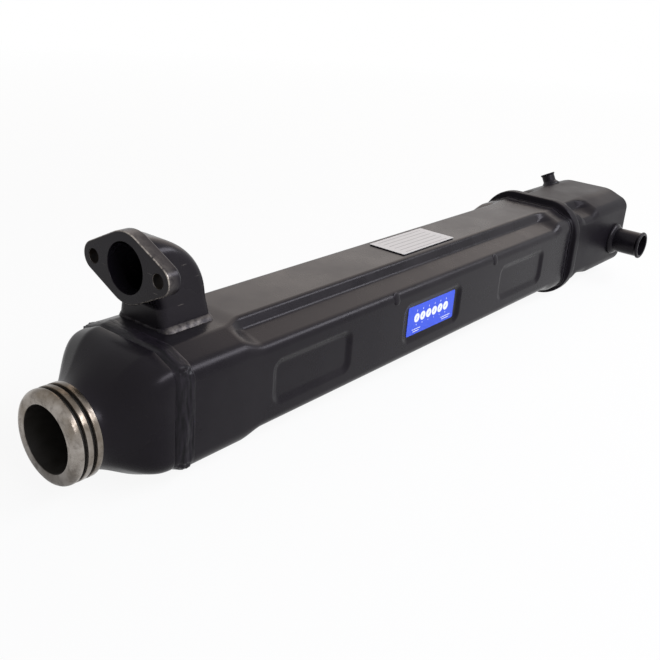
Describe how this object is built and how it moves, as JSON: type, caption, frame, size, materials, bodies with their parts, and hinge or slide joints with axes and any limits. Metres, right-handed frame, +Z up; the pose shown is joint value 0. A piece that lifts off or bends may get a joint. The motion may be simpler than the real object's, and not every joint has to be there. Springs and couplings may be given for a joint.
{
  "type": "egr cooler",
  "caption": "Long welded exhaust gas cooler with a turned gas outlet ring, cast coolant elbow with oval flange, expansion bellows, side hose nipple and vent stub.",
  "frame": {"origin": "centre of the gas outlet ring's bore on its front face", "axes": "+Y along the body from the outlet ring to the far tank, +X to the side of the hose nipple, +Z up"},
  "size_m": [0.159, 0.867, 0.1785],
  "materials": {
    "black_paint": "satin black paint on pressed and cast steel",
    "painted_weld": "satin black paint over weld beads",
    "inner_steel": "plain stainless sheet, unpainted",
    "turned_steel": "turned stainless steel with a straw heat tint",
    "data_plate": "blank silver plate",
    "blue_label": "printed blue label with plain white discs"
  },
  "bodies": {
    "root": {"gas_cone": "black_paint", "front_tube_plate": "black_paint", "shell": "black_paint", "elbow": "black_paint", "bellows": "black_paint", "rear_tank": "black_paint", "nipple": "black_paint", "nipple_boss": "black_paint", "vent_stub": "black_paint", "front_seam_weld": "painted_weld", "tack_welds": "painted_weld", "elbow_weld": "painted_weld", "bellows_welds": "painted_weld", "vent_weld": "painted_weld", "support_plates": "inner_steel", "gas_tubes": "inner_steel", "rear_tube_plate": "inner_steel", "rear_header": "inner_steel", "ring_weld": "inner_steel", "rear_seam_weld": "inner_steel", "gas_ring": "turned_steel", "inlet_ring": "turned_steel", "data_plate": "data_plate", "temp_label": "blue_label"}
  },
  "joints": []
}
